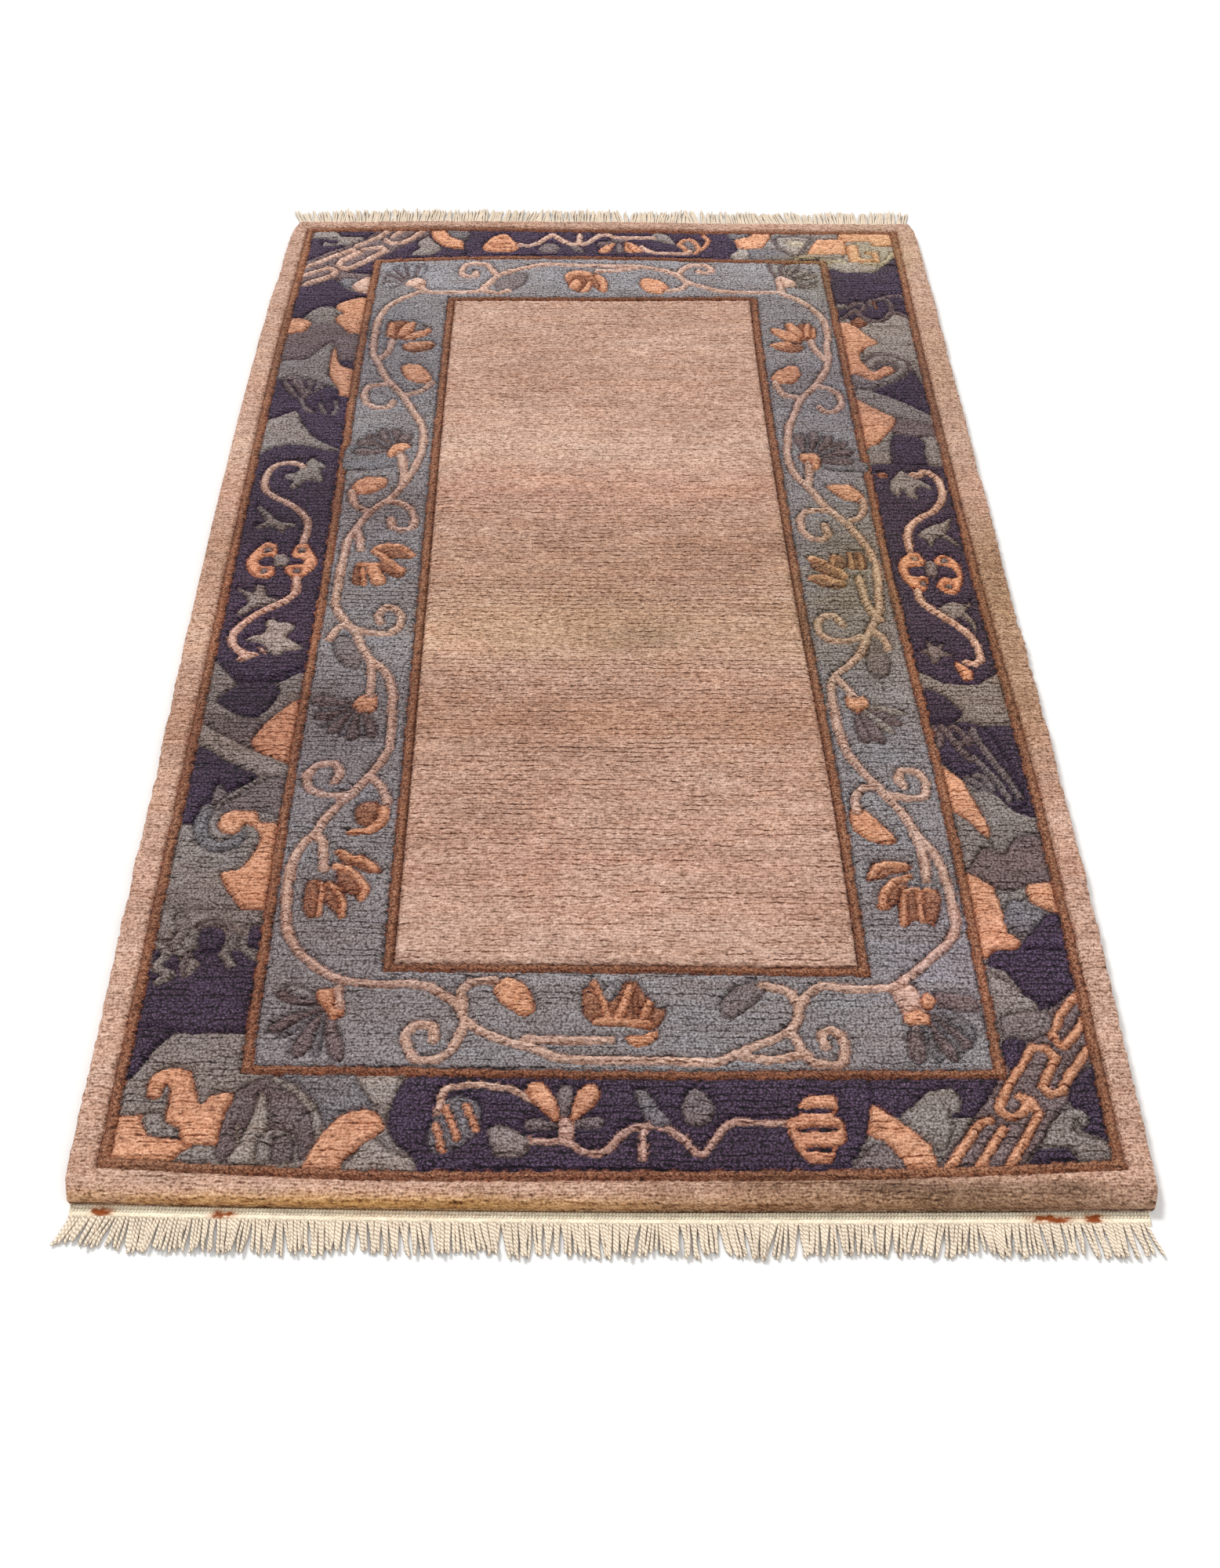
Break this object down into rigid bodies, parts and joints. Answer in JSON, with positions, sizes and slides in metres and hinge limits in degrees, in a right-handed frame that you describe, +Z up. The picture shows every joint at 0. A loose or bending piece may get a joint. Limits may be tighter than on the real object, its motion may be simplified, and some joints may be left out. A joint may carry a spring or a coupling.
{
  "type": "carved pile rug",
  "caption": "Flat rectangular hand-knotted wool rug with carved borders, leaf and flower motifs, and a woven heading with fringe at each end.",
  "frame": {"origin": "on the floor, under the middle of the rug's box with its fringes", "axes": "+X across the rug to its right side, +Y along the rug to its back end, +Z up out of the pile"},
  "size_m": [0.9362, 1.8928, 0.013],
  "materials": {
    "pile": "knotted wool pile, sheared and carved, matt",
    "fringe_front": "undyed twisted cotton warp, matt",
    "fringe_back": "undyed twisted cotton warp, matt"
  },
  "bodies": {
    "root": {"pile": "pile", "fringe_front": "fringe_front", "fringe_back": "fringe_back"}
  },
  "joints": []
}
